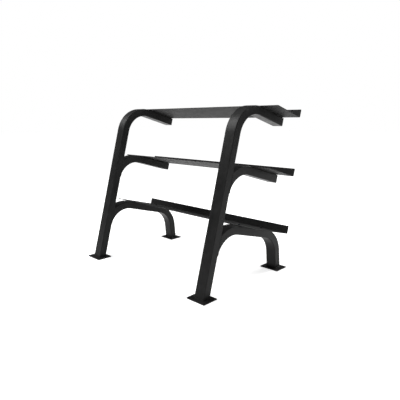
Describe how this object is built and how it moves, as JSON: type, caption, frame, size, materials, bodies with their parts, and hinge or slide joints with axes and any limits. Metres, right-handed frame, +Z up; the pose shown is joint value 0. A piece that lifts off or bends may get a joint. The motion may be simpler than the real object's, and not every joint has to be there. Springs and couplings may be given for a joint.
{
  "type": "dumbbell rack",
  "caption": "Free-standing tiered rack: leaning bent-tube side frames on flat feet carry sloping sheet trays with an upturned front lip for storing dumbbells.",
  "frame": {"origin": "on the floor, in the middle of the four feet, which is the middle of the object's base", "axes": "+Z up, front with the tray lips towards -Y, +X along the trays to the right of someone standing in front"},
  "size_m": [1.295, 0.774, 1.0228],
  "materials": {
    "frame_powder_coat": "satin black powder coat",
    "tray_powder_coat": "satin black powder coat",
    "pad_rubber": "matt black rubber",
    "cap_plastic": "moulded black polyethylene",
    "black_screw": "black oxide",
    "zinc_nut": "zinc plated"
  },
  "bodies": {
    "root": {"left_upright": "frame_powder_coat", "left_middle_arm": "frame_powder_coat", "left_lower_arm_and_leg": "frame_powder_coat", "left_rear_foot_plate": "frame_powder_coat", "left_rear_foot_pad": "pad_rubber", "left_front_foot_plate": "frame_powder_coat", "left_front_foot_pad": "pad_rubber", "left_top_arm_cap": "cap_plastic", "left_middle_arm_cap": "cap_plastic", "right_upright": "frame_powder_coat", "right_middle_arm": "frame_powder_coat", "right_lower_arm_and_leg": "frame_powder_coat", "right_rear_foot_plate": "frame_powder_coat", "right_rear_foot_pad": "pad_rubber", "right_front_foot_plate": "frame_powder_coat", "right_front_foot_pad": "pad_rubber", "right_top_arm_cap": "cap_plastic", "right_middle_arm_cap": "cap_plastic", "bottom_tray": "tray_powder_coat", "bottom_tray_screws": "black_screw", "bottom_tray_washers": "black_screw", "bottom_tray_rivet_nuts": "zinc_nut", "middle_tray": "tray_powder_coat", "middle_tray_screws": "black_screw", "middle_tray_washers": "black_screw", "middle_tray_rivet_nuts": "zinc_nut", "top_tray": "tray_powder_coat", "top_tray_screws": "black_screw", "top_tray_washers": "black_screw", "top_tray_rivet_nuts": "zinc_nut"}
  },
  "joints": []
}
